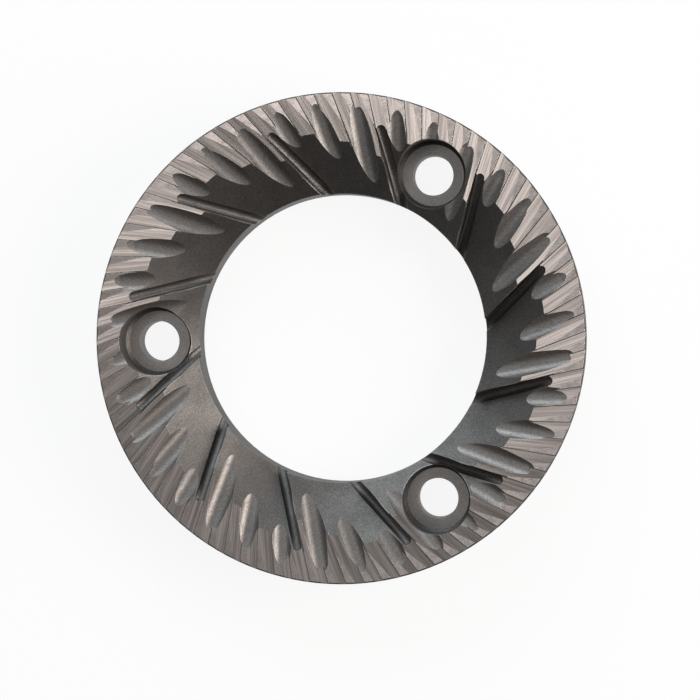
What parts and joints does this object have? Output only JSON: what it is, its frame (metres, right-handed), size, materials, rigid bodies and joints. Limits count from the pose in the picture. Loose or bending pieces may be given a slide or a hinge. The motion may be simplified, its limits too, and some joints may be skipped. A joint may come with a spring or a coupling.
{
  "type": "coffee grinder burr",
  "caption": "Flat ring-shaped coffee grinder burr with swept cutting teeth, sunken feed facets and counterbored screw holes.",
  "frame": {"origin": "on the ring's axis, in the plane of the flat back face", "axes": "+Z along the ring's axis, towards the cutting face; the middle screw hole lies near -X"},
  "size_m": [0.064, 0.064, 0.009],
  "materials": {
    "burr_steel": "dull cast steel with ground cutting lands"
  },
  "bodies": {
    "root": {"grinding_burr": "burr_steel"}
  },
  "joints": []
}
